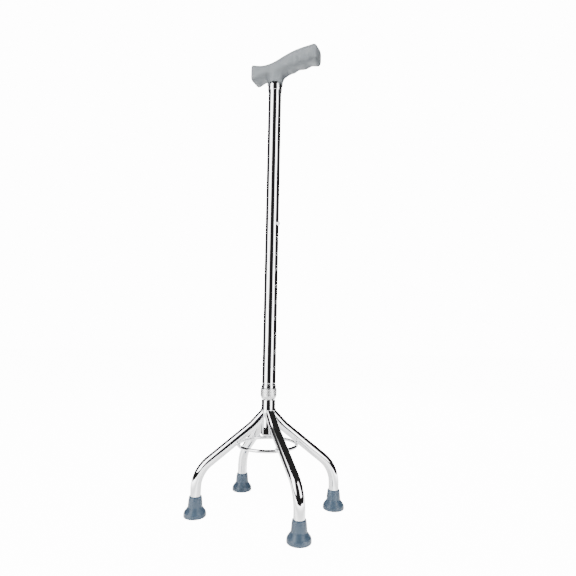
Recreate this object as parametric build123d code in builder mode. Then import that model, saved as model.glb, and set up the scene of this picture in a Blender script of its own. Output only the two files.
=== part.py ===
from build123d import *
from math import atan2, cos, degrees, hypot, radians, sin
import os

# Four-footed walking cane with a telescopic chromed shaft and a T-shaped grip.
#
# Millimetres. The origin lies on the floor under the shaft's axis, +Z is up and +X points
# under the grip's long end. Every piece is drawn in its place, at the shortest setting.

os.makedirs("parts", exist_ok=True)

# Driving dimensions --------------------------------------------------------------------

FOOT_X = 83.5  # half the base's length, to the middle of a foot
FOOT_Y = 62.7  # half the base's width
TUBE_R = 10.5  # outer radius of the shaft
TUBE_WALL = 1.2
STEM_R = 8.0  # outer radius of the tube that slides in the shaft
STEM_WALL = 1.5
LEG_R = 7.7
LEG_WALL = 1.2
RUNNING_GAP = 0.1  # radial, between a guide and the tube that slides on it
CLEAR = 0.3  # between pieces that move past each other

HOLE_PITCH = 25.4
HOLE_COUNT = 10
BUTTON_Z = 441.4  # height of the snap button and of the top hole

HUB_BOTTOM_Z = 114.0
HUB_TOP_Z = 166.2
RING_BOTTOM_Z = 167.4  # the lock ring
RING_TOP_Z = 183.6
LIP_BOTTOM_Z = RING_TOP_Z + CLEAR
TUBE_BOTTOM_Z = 187.9
TUBE_TOP_Z = 700.0  # inside the grip
FERRULE_BOTTOM_Z = 662.7
GRIP_BOTTOM_Z = 675.2
STEM_TOP_Z = 466.0
SLEEVE_TOP_Z = 203.0

FOOT_ANGLE = degrees(atan2(FOOT_Y, FOOT_X))
FOOT_RADIUS = hypot(FOOT_X, FOOT_Y)
TUBE_BORE_R = TUBE_R - TUBE_WALL
STEM_BORE_R = STEM_R - STEM_WALL


def save(piece, label):
    """Label a finished piece and write its STEP file."""
    piece.label = label
    export_step(piece, f"parts/{label}.step")


def corner_name(side_x, side_y):
    """The name of a corner of the base; the front is +X and the left is +Y."""
    end = "front" if side_x > 0 else "rear"
    side = "left" if side_y > 0 else "right"
    return f"{end}_{side}"


CORNERS = [(1, 1), (1, -1), (-1, 1), (-1, -1)]

# Shaft ---------------------------------------------------------------------------------

HOLE_R = 3.7
GROOVE_Z = 190.2  # a groove rolled into the tube to hold the sleeve
GROOVE_R = 0.8
PIN_Z = 688.0
PIN_R = 2.0

with BuildPart() as upper_tube:
    with BuildSketch(Plane.XY.offset(TUBE_BOTTOM_Z)):
        Circle(TUBE_R)
        Circle(TUBE_BORE_R, mode=Mode.SUBTRACT)
    extrude(amount=TUBE_TOP_Z - TUBE_BOTTOM_Z)
    with BuildSketch(Plane.XZ):
        with Locations((TUBE_R + 0.3, GROOVE_Z)):
            Circle(GROOVE_R)
    revolve(axis=Axis.Z, mode=Mode.SUBTRACT)
    with BuildSketch(Plane.YZ):
        for row in range(HOLE_COUNT):
            with Locations((0, BUTTON_Z - row * HOLE_PITCH)):
                Circle(HOLE_R)
    extrude(amount=TUBE_R + 1, mode=Mode.SUBTRACT)
    with BuildSketch(Plane.XZ):
        with Locations((0, PIN_Z)):
            Circle(PIN_R)
    extrude(amount=TUBE_R + 1, both=True, mode=Mode.SUBTRACT)
save(upper_tube.part, "upper_tube")

# Chromed collar that closes the joint between the tube and the grip.
FERRULE_R = 11.6

with BuildPart() as handle_ferrule:
    with BuildSketch(Plane.XZ):
        with BuildLine():
            Polyline(
                (TUBE_R, FERRULE_BOTTOM_Z),
                (TUBE_R + 0.3, FERRULE_BOTTOM_Z),
                (FERRULE_R, FERRULE_BOTTOM_Z + 3.4),
                (FERRULE_R, FERRULE_BOTTOM_Z + 5.0),
                (FERRULE_R - 0.5, FERRULE_BOTTOM_Z + 5.8),
                (FERRULE_R, FERRULE_BOTTOM_Z + 6.6),
                (FERRULE_R, GRIP_BOTTOM_Z),
                (TUBE_R, GRIP_BOTTOM_Z),
                close=True,
            )
        make_face()
    revolve(axis=Axis.Z)
save(handle_ferrule.part, "handle_ferrule")

# Grip ----------------------------------------------------------------------------------

# Sections across the grip: place along X, underside, top, half width, corner radius.
GRIP_SECTIONS = [
    (-40.4, 690.2, 713.6, 10.6, 6.5),
    (-38.4, 687.6, 715.9, 12.8, 7.0),
    (-35.0, 686.7, 715.2, 13.4, 8.0),
    (-26.0, 688.2, 712.8, 13.7, 9.5),
    (-12.0, 690.3, 709.9, 13.6, 9.0),
    (4.0, 690.6, 710.8, 13.8, 9.0),
    (22.0, 691.0, 715.8, 14.2, 10.0),
    (38.0, 691.6, 719.2, 14.4, 10.5),
    (54.0, 692.0, 720.2, 14.4, 10.5),
    (67.0, 691.9, 719.4, 14.3, 9.5),
    (75.3, 691.6, 718.4, 13.8, 7.5),
    (77.5, 694.0, 716.0, 11.5, 6.0),
]
FINGER_X = (40.0, 62.0)  # middles of the finger grooves
FINGER_R = 20.0
FINGER_DEPTH = 1.4
# Sections of the neck, which flares into the grip: height, rear, front, half width, corner.
NECK_SECTIONS = [
    (GRIP_BOTTOM_Z, -12.6, 12.6, 12.6, 12.5),
    (683.0, -12.8, 13.6, 12.7, 12.5),
    (689.0, -14.0, 16.0, 12.9, 12.2),
    (694.5, -17.0, 20.5, 13.2, 11.5),
    (698.0, -17.5, 21.0, 13.0, 11.0),
]
BAR_FRONT_X = 58.0
BAR_REAR_X = -26.0
BAR_WIDTH = 12.0
BAR_TOP_Z = 705.0

with BuildPart() as handle_grip:
    for place, low, high, half_width, corner in GRIP_SECTIONS:
        with BuildSketch(Plane.YZ.offset(place)):
            with Locations((0, (low + high) / 2)):
                RectangleRounded(2 * half_width, high - low, corner)
    loft()
    for height, rear, front, half_width, corner in NECK_SECTIONS:
        with BuildSketch(Plane.XY.offset(height)):
            with Locations(((rear + front) / 2, 0)):
                RectangleRounded(front - rear, 2 * half_width, corner)
    loft()
    with BuildSketch(Plane.XZ):
        for place in FINGER_X:
            with Locations((place, 692.0 + FINGER_DEPTH - FINGER_R)):
                Circle(FINGER_R)
    extrude(amount=20, both=True, mode=Mode.SUBTRACT)
    with BuildSketch(Plane.XY.offset(GRIP_BOTTOM_Z)):
        Circle(TUBE_R)
    extrude(amount=TUBE_TOP_Z - GRIP_BOTTOM_Z, mode=Mode.SUBTRACT)
    with BuildSketch(Plane.XY.offset(TUBE_TOP_Z)):
        with Locations(((BAR_FRONT_X + BAR_REAR_X) / 2, 0)):
            Rectangle(BAR_FRONT_X - BAR_REAR_X, BAR_WIDTH)
    extrude(amount=BAR_TOP_Z - TUBE_TOP_Z, mode=Mode.SUBTRACT)
save(handle_grip.part, "handle_grip")

# Armature inside the grip: a bar along it and a plug that fills the tube's top end.
PLUG_BOTTOM_Z = 668.0

with BuildPart() as handle_core:
    with BuildSketch(Plane.XY.offset(TUBE_TOP_Z)):
        with Locations(((BAR_FRONT_X + BAR_REAR_X) / 2, 0)):
            Rectangle(BAR_FRONT_X - BAR_REAR_X, BAR_WIDTH)
    extrude(amount=BAR_TOP_Z - TUBE_TOP_Z)
    with BuildSketch(Plane.XY.offset(PLUG_BOTTOM_Z)):
        Circle(TUBE_BORE_R)
    extrude(amount=TUBE_TOP_Z - PLUG_BOTTOM_Z)
    chamfer(handle_core.faces().sort_by(Axis.Z)[0].edges(), 1.5)
    with BuildSketch(Plane.XZ):
        with Locations((0, PIN_Z)):
            Circle(PIN_R)
    extrude(amount=TUBE_R, both=True, mode=Mode.SUBTRACT)
save(handle_core.part, "handle_core")

# Pin through the tube's wall and the armature's plug.
with BuildPart() as handle_pin:
    with BuildSketch(Plane.XZ):
        with Locations((0, PIN_Z)):
            Circle(PIN_R)
    extrude(amount=TUBE_R - 0.4, both=True)
    chamfer(handle_pin.edges().filter_by(GeomType.CIRCLE), 0.4)
save(handle_pin.part, "handle_pin")

# Lower end of the shaft: threaded sleeve, collet, compression ring and lock ring ---------

LIP_R = 11.2
SHANK_R = 10.2  # over the thread
SHANK_BOTTOM_Z = 172.6
SLEEVE_BORE_R = 8.6
COLLET_BOTTOM_Z = 170.6
SLIT_WIDTH = 1.0
SLIT_TOP_Z = 182.0

with BuildPart() as lower_sleeve:
    with BuildSketch(Plane.XZ):
        with BuildLine():
            Polyline(
                (SLEEVE_BORE_R, SHANK_BOTTOM_Z),
                (SHANK_R - 0.5, SHANK_BOTTOM_Z),
                (SHANK_R, SHANK_BOTTOM_Z + 0.5),
                (SHANK_R, LIP_BOTTOM_Z),
                (LIP_R - 0.4, LIP_BOTTOM_Z),
                (LIP_R, LIP_BOTTOM_Z + 0.4),
                (LIP_R, TUBE_BOTTOM_Z - 0.8),
                (LIP_R - 0.7, TUBE_BOTTOM_Z),
                (TUBE_BORE_R, TUBE_BOTTOM_Z),
                (TUBE_BORE_R, SLEEVE_TOP_Z),
                (SLEEVE_BORE_R, SLEEVE_TOP_Z),
                close=True,
            )
        make_face()
    revolve(axis=Axis.Z)
save(lower_sleeve.part, "lower_sleeve")

with BuildPart() as collet_bush:
    with BuildSketch(Plane.XZ):
        with BuildLine():
            Polyline(
                (STEM_R + RUNNING_GAP, COLLET_BOTTOM_Z),
                (STEM_R + RUNNING_GAP + 0.2, COLLET_BOTTOM_Z),
                (SLEEVE_BORE_R, COLLET_BOTTOM_Z + 1.6),
                (SLEEVE_BORE_R, SLEEVE_TOP_Z),
                (STEM_R + RUNNING_GAP, SLEEVE_TOP_Z),
                close=True,
            )
        make_face()
    revolve(axis=Axis.Z)
    with BuildSketch(Plane.XY.offset(COLLET_BOTTOM_Z)):
        Rectangle(3 * STEM_R, SLIT_WIDTH)
        Rectangle(SLIT_WIDTH, 3 * STEM_R)
    extrude(amount=SLIT_TOP_Z - COLLET_BOTTOM_Z, mode=Mode.SUBTRACT)
save(collet_bush.part, "collet_bush")

RING_R = 12.3
RING_FLOOR = 0.9  # thickness of the lock ring's inward flange
RING_BORE_R = SHANK_R + RUNNING_GAP
SQUEEZE_BOTTOM_Z = RING_BOTTOM_Z + RING_FLOOR + CLEAR
SQUEEZE_TOP_Z = SHANK_BOTTOM_Z - 1.0

with BuildPart() as compression_ring:
    with BuildSketch(Plane.XZ):
        with BuildLine():
            Polyline(
                (STEM_R + CLEAR, SQUEEZE_BOTTOM_Z),
                (RING_BORE_R - CLEAR, SQUEEZE_BOTTOM_Z),
                (RING_BORE_R - CLEAR, SQUEEZE_TOP_Z),
                (RING_BORE_R - 1.2, SQUEEZE_TOP_Z),
                (STEM_R + CLEAR, SQUEEZE_BOTTOM_Z + 1.5),
                close=True,
            )
        make_face()
    revolve(axis=Axis.Z)
save(compression_ring.part, "compression_ring")

with BuildPart() as lock_ring:
    with BuildSketch(Plane.XZ):
        with BuildLine():
            Polyline(
                (STEM_R + 1.2, RING_BOTTOM_Z),
                (RING_R - 1.6, RING_BOTTOM_Z),
                (RING_R, RING_BOTTOM_Z + 4.0),
                (RING_R, RING_TOP_Z - 1.0),
                (RING_R - 0.8, RING_TOP_Z),
                (RING_BORE_R, RING_TOP_Z),
                (RING_BORE_R, RING_BOTTOM_Z + RING_FLOOR),
                (STEM_R + 1.2, RING_BOTTOM_Z + RING_FLOOR),
                close=True,
            )
        make_face()
    revolve(axis=Axis.Z)
    with PolarLocations(RING_R + 0.35, 36):
        with Locations((0, 0, RING_BOTTOM_Z)):
            Cylinder(
                0.7,
                RING_TOP_Z - RING_BOTTOM_Z,
                align=(Align.CENTER, Align.CENTER, Align.MIN),
                mode=Mode.SUBTRACT,
            )
save(lock_ring.part, "lock_ring")

# Sliding stem, its guide and the hub -----------------------------------------------------

HUB_PLUG_Z = 119.0

with BuildPart() as inner_tube:
    with BuildSketch(Plane.XY.offset(HUB_PLUG_Z)):
        Circle(STEM_R)
        Circle(STEM_BORE_R, mode=Mode.SUBTRACT)
    extrude(amount=STEM_TOP_Z - HUB_PLUG_Z)
    with BuildSketch(Plane.YZ):
        with Locations((0, BUTTON_Z)):
            Circle(HOLE_R - RUNNING_GAP)
    extrude(amount=STEM_R + 1, mode=Mode.SUBTRACT)
save(inner_tube.part, "inner_tube")

GUIDE_TOP_Z = STEM_TOP_Z + 5.0
GUIDE_PLUG = 9.0  # how far the guide's plug reaches into the stem

with BuildPart() as guide_bush:
    with BuildSketch(Plane.XY.offset(STEM_TOP_Z)):
        Circle(TUBE_BORE_R - RUNNING_GAP)
    extrude(amount=GUIDE_TOP_Z - STEM_TOP_Z)
    chamfer(guide_bush.faces().sort_by(Axis.Z)[-1].edges(), 0.8)
    with BuildSketch(Plane.XY.offset(STEM_TOP_Z - GUIDE_PLUG)):
        Circle(STEM_BORE_R)
    extrude(amount=GUIDE_PLUG)
save(guide_bush.part, "guide_bush")

with BuildPart() as hub_tube:
    with BuildSketch(Plane.XY.offset(HUB_BOTTOM_Z)):
        Circle(TUBE_R)
        Circle(STEM_R, mode=Mode.SUBTRACT)
    extrude(amount=HUB_TOP_Z - HUB_BOTTOM_Z)
    rims = hub_tube.edges().filter_by(GeomType.CIRCLE).sort_by(SortBy.RADIUS)[-2:]
    chamfer(rims, 0.6)
save(hub_tube.part, "hub_tube")

with BuildPart() as hub_plug:
    with BuildSketch(Plane.XY.offset(HUB_BOTTOM_Z)):
        Circle(STEM_R)
    extrude(amount=HUB_PLUG_Z - HUB_BOTTOM_Z)
    with BuildSketch(Plane.XY.offset(HUB_BOTTOM_Z)):
        Circle(STEM_R + 1.2)
    extrude(amount=-1.6)
    fillet(hub_plug.faces().sort_by(Axis.Z)[0].edges(), 0.8)
save(hub_plug.part, "hub_plug")

# Snap button and its spring --------------------------------------------------------------

BUTTON_R = 3.5
BUTTON_TIP_X = 13.3
BUTTON_FLANGE_X = 4.7  # outer face of the flange that holds the button in the stem
BUTTON_FLANGE_R = 4.2
FLANGE_THICK = 0.9
CLIP_THICK = 0.6
CLIP_WIDTH = 6.0
CLIP_TOP_Z = BUTTON_Z + 8.0
CLIP_BOTTOM_Z = BUTTON_Z - 26.0
CLIP_BACK_X = -5.4  # outer face of the spring's rear leaf

with BuildPart() as snap_button:
    with BuildSketch(Plane.XZ):
        with BuildLine():
            Line((BUTTON_FLANGE_X - FLANGE_THICK, BUTTON_Z), (BUTTON_TIP_X, BUTTON_Z))
            ThreePointArc(
                (BUTTON_TIP_X, BUTTON_Z),
                (BUTTON_TIP_X - 0.85, BUTTON_Z + 0.7 * BUTTON_R),
                (BUTTON_TIP_X - 2.8, BUTTON_Z + BUTTON_R),
            )
            Polyline(
                (BUTTON_TIP_X - 2.8, BUTTON_Z + BUTTON_R),
                (BUTTON_FLANGE_X, BUTTON_Z + BUTTON_R),
                (BUTTON_FLANGE_X, BUTTON_Z + BUTTON_FLANGE_R),
                (BUTTON_FLANGE_X - FLANGE_THICK, BUTTON_Z + BUTTON_FLANGE_R),
                (BUTTON_FLANGE_X - FLANGE_THICK, BUTTON_Z),
            )
        make_face()
    revolve(axis=Axis((0, 0, BUTTON_Z), (1, 0, 0)))
save(snap_button.part, "snap_button")

CLIP_FRONT_X = BUTTON_FLANGE_X - FLANGE_THICK - CLIP_THICK / 2
CLIP_REAR_X = CLIP_BACK_X + CLIP_THICK / 2
CLIP_BEND_X = (CLIP_FRONT_X + CLIP_REAR_X) / 2
CLIP_BEND_R = (CLIP_FRONT_X - CLIP_REAR_X) / 2

with BuildPart() as spring_clip:
    with BuildSketch(Plane.XZ):
        with BuildLine() as clip_line:
            Line((CLIP_FRONT_X, CLIP_TOP_Z), (CLIP_FRONT_X, CLIP_BOTTOM_Z))
            ThreePointArc(
                (CLIP_FRONT_X, CLIP_BOTTOM_Z),
                (CLIP_BEND_X, CLIP_BOTTOM_Z - CLIP_BEND_R),
                (CLIP_REAR_X, CLIP_BOTTOM_Z),
            )
            Line((CLIP_REAR_X, CLIP_BOTTOM_Z), (CLIP_REAR_X, CLIP_TOP_Z))
        trace(line_width=CLIP_THICK)
    extrude(amount=CLIP_WIDTH / 2, both=True)
save(spring_clip.part, "spring_clip")

# Legs, brace ring and welds ----------------------------------------------------------------

LEG_SLOPE_TOP = (24.0, 126.2)  # distance from the shaft's axis, height: end of the steep start
LEG_KNEE = (FOOT_RADIUS, 62.2)  # where the slope's line meets the foot's upright
LEG_START = (5.0, 146.2)
LEG_BOTTOM_Z = 8.0
LEG_BEND_R = 48.0
LEG_START_BEND_R = 60.0
LEG_DROP = (LEG_SLOPE_TOP[1] - LEG_KNEE[1]) / (LEG_KNEE[0] - LEG_SLOPE_TOP[0])  # per mm out

WIRE_R = 2.5
WIRE_RING_R = 44.0
WIRE_Z = 99.2  # high enough for the wire to be notched a little under each leg
LEG_Z_AT_WIRE = LEG_KNEE[1] + (LEG_KNEE[0] - WIRE_RING_R) * LEG_DROP


def upright_plane(angle):
    """The upright plane through the shaft's axis in which a leg is bent."""
    turn = radians(angle)
    return Plane(origin=(0, 0, 0), x_dir=(cos(turn), sin(turn), 0), z_dir=(sin(turn), -cos(turn), 0))


def make_leg(side_x, side_y, bore_r):
    """A bent tube, coped against the hub and mitred against its neighbours."""
    angle = degrees(atan2(side_y * FOOT_Y, side_x * FOOT_X))
    with BuildPart() as leg:
        with BuildLine(upright_plane(angle)) as path:
            FilletPolyline(
                LEG_START,
                LEG_SLOPE_TOP,
                LEG_KNEE,
                (FOOT_RADIUS, LEG_BOTTOM_Z),
                radius=[LEG_START_BEND_R, LEG_BEND_R],
            )
        with BuildSketch(Plane(origin=path.line @ 0, z_dir=path.line % 0)):
            Circle(LEG_R)
            if bore_r > 0:
                Circle(bore_r, mode=Mode.SUBTRACT)
        sweep(path=path.line)
        with Locations((0, 0, HUB_BOTTOM_Z)):
            Cylinder(
                TUBE_R,
                2 * (HUB_TOP_Z - HUB_BOTTOM_Z),
                align=(Align.CENTER, Align.CENTER, Align.MIN),
                mode=Mode.SUBTRACT,
            )
        with Locations((side_x * FOOT_RADIUS, side_y * FOOT_RADIUS, FOOT_RADIUS)):
            Box(2 * FOOT_RADIUS, 2 * FOOT_RADIUS, 2 * FOOT_RADIUS, mode=Mode.INTERSECT)
    return leg.part


for side_x, side_y in CORNERS:
    leg_tube = make_leg(side_x, side_y, LEG_R - LEG_WALL)
    save(leg_tube, "leg_" + corner_name(side_x, side_y))

with BuildPart() as brace_ring:
    with Locations((0, 0, WIRE_Z)):
        Torus(WIRE_RING_R, WIRE_R)
    for side_x, side_y in CORNERS:
        angle = degrees(atan2(side_y * FOOT_Y, side_x * FOOT_X))
        with Locations(Location((0, 0, 0), (0, 0, angle))):
            with Locations(Plane((WIRE_RING_R, 0, LEG_Z_AT_WIRE), z_dir=(1, 0, -LEG_DROP))):
                Cylinder(LEG_R, 40, mode=Mode.SUBTRACT)
save(brace_ring.part, "brace_ring")

# Welds: two beads under each leg, in the wedges beside the wire's contact, and one where
# each leg leaves the hub. Each bead is a small ball less the pieces that it joins.
BEAD_R = 2.4
BEAD_RING_Z = WIRE_Z + WIRE_R + 0.3
BEAD_RING_OFFSET = 5.2
BEAD_HUB_Z = 129.5

with BuildPart() as weld_beads:
    for side_x, side_y in CORNERS:
        angle = degrees(atan2(side_y * FOOT_Y, side_x * FOOT_X))
        with Locations(Location((0, 0, 0), (0, 0, angle))):
            for offset in (BEAD_RING_OFFSET, -BEAD_RING_OFFSET):
                with Locations((WIRE_RING_R, offset, BEAD_RING_Z)):
                    Sphere(BEAD_R)
            with Locations((TUBE_R + 0.6, 0, BEAD_HUB_Z)):
                Sphere(BEAD_R)
    for side_x, side_y in CORNERS:
        add(make_leg(side_x, side_y, 0), mode=Mode.SUBTRACT)
    add(brace_ring.part, mode=Mode.SUBTRACT)
    with Locations((0, 0, HUB_BOTTOM_Z)):
        Cylinder(TUBE_R, 60, align=(Align.CENTER, Align.CENTER, Align.MIN), mode=Mode.SUBTRACT)
save(weld_beads.part, "weld_beads")

# Rubber tips and their steel washers ---------------------------------------------------------

TIP_BASE_R = 16.5
TIP_HEIGHT = 28.5
TIP_TOP_R = 9.7
WASHER_Z = 6.5
TREAD_DEPTH = 1.0
TREAD_RADII = (5.5, 9.0, 12.5)
TREAD_WIDTH = 1.2


def make_tip(side_x, side_y):
    """A bell-shaped rubber tip with a socket for the leg and a ringed sole."""
    place = Plane(origin=(side_x * FOOT_X, side_y * FOOT_Y, 0), x_dir=(1, 0, 0), z_dir=(0, -1, 0))
    upright = Axis((side_x * FOOT_X, side_y * FOOT_Y, 0), (0, 0, 1))
    with BuildPart() as tip:
        with BuildSketch(place):
            with BuildLine():
                Line((0, 0), (TIP_BASE_R - 1.2, 0))
                ThreePointArc((TIP_BASE_R - 1.2, 0), (TIP_BASE_R - 0.35, 0.35), (TIP_BASE_R, 1.2))
                Line((TIP_BASE_R, 1.2), (TIP_BASE_R, 3.6))
                ThreePointArc((TIP_BASE_R, 3.6), (15.6, 7.2), (13.6, 9.9))
                ThreePointArc((13.6, 9.9), (11.7, 12.0), (10.9, 14.2))
                Line((10.9, 14.2), (TIP_TOP_R, TIP_HEIGHT - 0.8))
                Line((TIP_TOP_R, TIP_HEIGHT - 0.8), (TIP_TOP_R - 0.8, TIP_HEIGHT))
                Line((TIP_TOP_R - 0.8, TIP_HEIGHT), (LEG_R, TIP_HEIGHT))
                Line((LEG_R, TIP_HEIGHT), (LEG_R, WASHER_Z))
                Line((LEG_R, WASHER_Z), (0, WASHER_Z))
                Line((0, WASHER_Z), (0, 0))
            make_face()
            for tread in TREAD_RADII:
                with Locations((tread, TREAD_DEPTH / 2)):
                    Rectangle(TREAD_WIDTH, TREAD_DEPTH, mode=Mode.SUBTRACT)
        revolve(axis=upright)
    return tip.part


def make_tip_washer(side_x, side_y):
    """A steel disc in the tip's socket that keeps the leg from cutting through the rubber."""
    with BuildPart() as washer:
        with BuildSketch(Plane.XY.offset(WASHER_Z)):
            with Locations((side_x * FOOT_X, side_y * FOOT_Y)):
                Circle(LEG_R - 0.2)
        extrude(amount=LEG_BOTTOM_Z - WASHER_Z)
    return washer.part


for side_x, side_y in CORNERS:
    corner = corner_name(side_x, side_y)
    save(make_tip(side_x, side_y), "tip_" + corner)
    save(make_tip_washer(side_x, side_y), "tip_washer_" + corner)
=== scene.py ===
from math import atan2, cos, hypot, log10, pi, radians, sin, sqrt, tan

import bpy
import numpy as np
from mathutils import Matrix, Vector


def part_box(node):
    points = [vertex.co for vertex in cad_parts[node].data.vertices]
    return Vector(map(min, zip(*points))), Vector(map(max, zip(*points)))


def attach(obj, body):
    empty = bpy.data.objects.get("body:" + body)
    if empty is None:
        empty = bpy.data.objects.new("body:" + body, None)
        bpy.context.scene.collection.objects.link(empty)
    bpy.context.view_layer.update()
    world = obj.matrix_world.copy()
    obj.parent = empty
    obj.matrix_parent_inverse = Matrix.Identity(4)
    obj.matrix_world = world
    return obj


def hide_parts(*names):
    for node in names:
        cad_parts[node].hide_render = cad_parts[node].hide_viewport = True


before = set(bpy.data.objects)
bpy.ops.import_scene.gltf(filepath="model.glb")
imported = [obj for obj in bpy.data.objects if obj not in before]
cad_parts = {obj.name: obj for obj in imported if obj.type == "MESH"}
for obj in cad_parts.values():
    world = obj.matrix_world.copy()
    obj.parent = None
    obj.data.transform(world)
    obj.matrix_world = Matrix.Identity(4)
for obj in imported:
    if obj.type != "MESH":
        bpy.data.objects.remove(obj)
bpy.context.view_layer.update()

# A four-footed walking cane: chromed tubes, a moulded grip, a snap button, a knurled lock ring
# and rubber tips, in a white studio. Shapes are worked out in millimetres and written to
# Blender in metres.
MM = 0.001


def span(node):
    """The lowest and highest corners of a CAD node, in millimetres."""
    low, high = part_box(node)
    return np.array(low) / MM, np.array(high) / MM


# Places and sizes read from the frame ---------------------------------------------------

TUBE_LOW, TUBE_HIGH = span("upper_tube")
HUB_LOW, HUB_HIGH = span("hub_tube")
STEM_LOW, STEM_HIGH = span("inner_tube")
FERRULE_LOW, FERRULE_HIGH = span("handle_ferrule")
GRIP_LOW, GRIP_HIGH = span("handle_grip")
RING_LOW, RING_HIGH = span("lock_ring")
SLEEVE_LOW, SLEEVE_HIGH = span("lower_sleeve")
BUTTON_LOW, BUTTON_HIGH = span("snap_button")
BRACE_LOW, BRACE_HIGH = span("brace_ring")
PLUG_LOW, PLUG_HIGH = span("hub_plug")
TIP_LOW, TIP_HIGH = span("tip_front_left")
LEG_BOTTOM_Z = span("leg_front_left")[0][2]

TUBE_R = TUBE_HIGH[0]
STEM_R = STEM_HIGH[0]
HUB_R = HUB_HIGH[0]
TIP_HEIGHT = TIP_HIGH[2]
FOOT_X = (TIP_HIGH[0] + TIP_LOW[0]) / 2
FOOT_Y = (TIP_HIGH[1] + TIP_LOW[1]) / 2
FOOT_RADIUS = hypot(FOOT_X, FOOT_Y)
BUTTON_Z = (BUTTON_LOW[2] + BUTTON_HIGH[2]) / 2
WIRE_R = (BRACE_HIGH[2] - BRACE_LOW[2]) / 2
WIRE_RING_R = BRACE_HIGH[0] - WIRE_R
WIRE_Z = (BRACE_HIGH[2] + BRACE_LOW[2]) / 2

# The design's own values, as in the CAD model.
HOLE_PITCH = 25.4
HOLE_COUNT = 10
HOLE_R = 3.7
TUBE_WALL = 1.2
STEM_WALL = 1.5
GROOVE_Z = 190.2
LIP_GAP = 0.3  # between the lock ring and the lip above it
BUTTON_R = 3.5
FLANGE = 0.9  # thickness of the button's flange
LEG_R = 7.7
LEG_START = (5.0, 146.2)  # a leg's middle line: distance from the shaft's axis, height
LEG_SLOPE_TOP = (24.0, 126.2)
LEG_KNEE = (FOOT_RADIUS, 62.2)
LEG_START_BEND_R = 60.0
LEG_BEND_R = 48.0
BEAD_OFFSET = 5.2  # along the brace ring, from the middle of a leg to its weld beads
SOCKET_FLOOR = 1.5  # from the leg's end down to the floor of the tip's socket
TREAD_RADII = (12.5, 9.0, 5.5)
TREAD_DEPTH = 1.0

# Sizes of detail that only this model has.
FIT = 0.02  # gap left between pieces that fit inside each other
GROOVE_WIDTH = 2.2
GROOVE_DEPTH = 0.6
RING_WALL = 2.1  # from the lock ring's outside to the bore of its thread
THREAD_GAP = 0.1  # radial, between the lock ring and the sleeve's shank
BUTTON_DOME = 2.6  # height of the button's rounded end
LEG_INTO_HUB = 1.2
BEAD_SIZE = (2.4, 2.2, 1.9)
SEAM_R = 1.0  # of the weld bead where a leg meets the hub

CORNERS = [(1, 1), (1, -1), (-1, 1), (-1, -1)]


def corner_name(side_x, side_y):
    end = "front" if side_x > 0 else "rear"
    side = "left" if side_y > 0 else "right"
    return f"{end}_{side}"


# Mesh helpers -----------------------------------------------------------------------------


def filleted(points, radii, steps=6):
    """A polyline whose inner corners are rounded, sampled along its runs and arcs."""
    points = [np.array(p, float) for p in points]
    out = [points[0]]
    for before, corner, after, radius in zip(points, points[1:], points[2:], radii):
        into = (corner - before) / np.linalg.norm(corner - before)
        away = (after - corner) / np.linalg.norm(after - corner)
        turn = np.arccos(np.clip(into @ away, -1, 1))
        if radius <= 0 or turn < 1e-4:
            out.append(corner)
            continue
        reach = radius * tan(turn / 2)
        inward = (away - into) / np.linalg.norm(away - into)
        centre = corner + inward * radius / cos(turn / 2)
        first = corner - into * reach - centre
        side = (first - (first @ into) * into) / radius
        for k in range(steps + 1):
            a = turn * k / steps
            out.append(centre + radius * (side * cos(a) + into * sin(a)))
    out.append(points[-1])
    return np.array(out)


def rounded_loop(corners, radii, steps=4):
    """A closed outline with every corner rounded."""
    n = len(corners)
    middle = (np.array(corners[0], float) + np.array(corners[-1], float)) / 2
    path = [middle, *corners, middle]
    out = filleted(path, radii, steps)
    return out[:-1]


def grid_faces(rows, columns, close_rows=False):
    """The quads of a grid of points stored row by row, each row closed on itself."""
    faces = []
    for i in range(rows if close_rows else rows - 1):
        for j in range(columns):
            a, b = i * columns, (i + 1) % rows * columns
            k = (j + 1) % columns
            faces.append((a + j, a + k, b + k, b + j))
    return faces


def bridge(loop, other):
    """The quads between two closed loops of the same number of points."""
    after = range(1, len(loop) + 1)
    return [(loop[b - 1], loop[b % len(loop)], other[b % len(loop)], other[b - 1]) for b in after]


def fan(centre, loop):
    """The triangles that close a loop onto a middle point."""
    after = range(1, len(loop) + 1)
    return [(centre, loop[b - 1], loop[b % len(loop)]) for b in after]


def vertex_normals(points, faces):
    """Vertex normals weighted by face area, so that small bevels don't bend long faces."""
    normals = np.zeros_like(points)
    for size in (3, 4):
        some = np.array([f for f in faces if len(f) == size], int)
        if not len(some):
            continue
        corners = [points[some[:, k]] for k in range(size)]
        if size == 3:
            cross = np.cross(corners[1] - corners[0], corners[2] - corners[0])
        else:
            cross = np.cross(corners[2] - corners[0], corners[3] - corners[1])
        for k in range(size):
            np.add.at(normals, some[:, k], cross)
    return normals / np.maximum(np.linalg.norm(normals, axis=1, keepdims=True), 1e-12)


def signed_volume(points, faces):
    """The volume of a closed mesh, negative if its faces point inwards."""
    total = 0.0
    for f in faces:
        for k in range(1, len(f) - 1):
            total += points[f[0]] @ np.cross(points[f[k]], points[f[k + 1]])
    return total / 6


def make_piece(name, points, faces, material, body, nodes=(), normals=None):
    """A smooth-shaded closed mesh that rides on a body and stands for some CAD nodes."""
    points = np.asarray(points, float)
    if signed_volume(points, faces) < 0:
        faces = [tuple(reversed(f)) for f in faces]
    if normals is None:
        normals = vertex_normals(points, faces)
    mesh = bpy.data.meshes.new(name)
    mesh.from_pydata((points * MM).tolist(), [], faces)
    mesh.polygons.foreach_set("use_smooth", [True] * len(mesh.polygons))
    mesh.normals_split_custom_set_from_vertices(normals.tolist())
    mesh.materials.append(material)
    piece = bpy.data.objects.new(name, mesh)
    bpy.context.collection.objects.link(piece)
    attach(piece, body)
    if nodes:
        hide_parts(*nodes)
    return piece


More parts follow.
